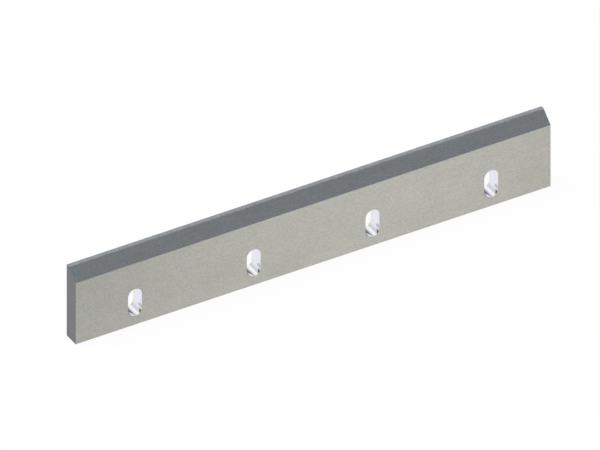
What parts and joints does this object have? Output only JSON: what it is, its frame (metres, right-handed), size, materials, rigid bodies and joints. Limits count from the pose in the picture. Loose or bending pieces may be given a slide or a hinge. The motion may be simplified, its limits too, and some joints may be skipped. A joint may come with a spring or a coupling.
{
  "type": "rotor knife",
  "caption": "Straight rotor knife for a granulator: a flat ground steel bar with a bevelled cutting edge and slots for its screws.",
  "frame": {"origin": "middle of the back edge's face, at half the length and half the thickness", "axes": "+X along the knife, +Y out of the flat face that carries the cutting edge, +Z from the back edge up to the cutting edge"},
  "size_m": [0.6, 0.02, 0.095],
  "materials": {
    "ground_steel": "surface ground, fine grain, edges broken"
  },
  "bodies": {
    "root": {"rotor_knife": "ground_steel"}
  },
  "joints": []
}
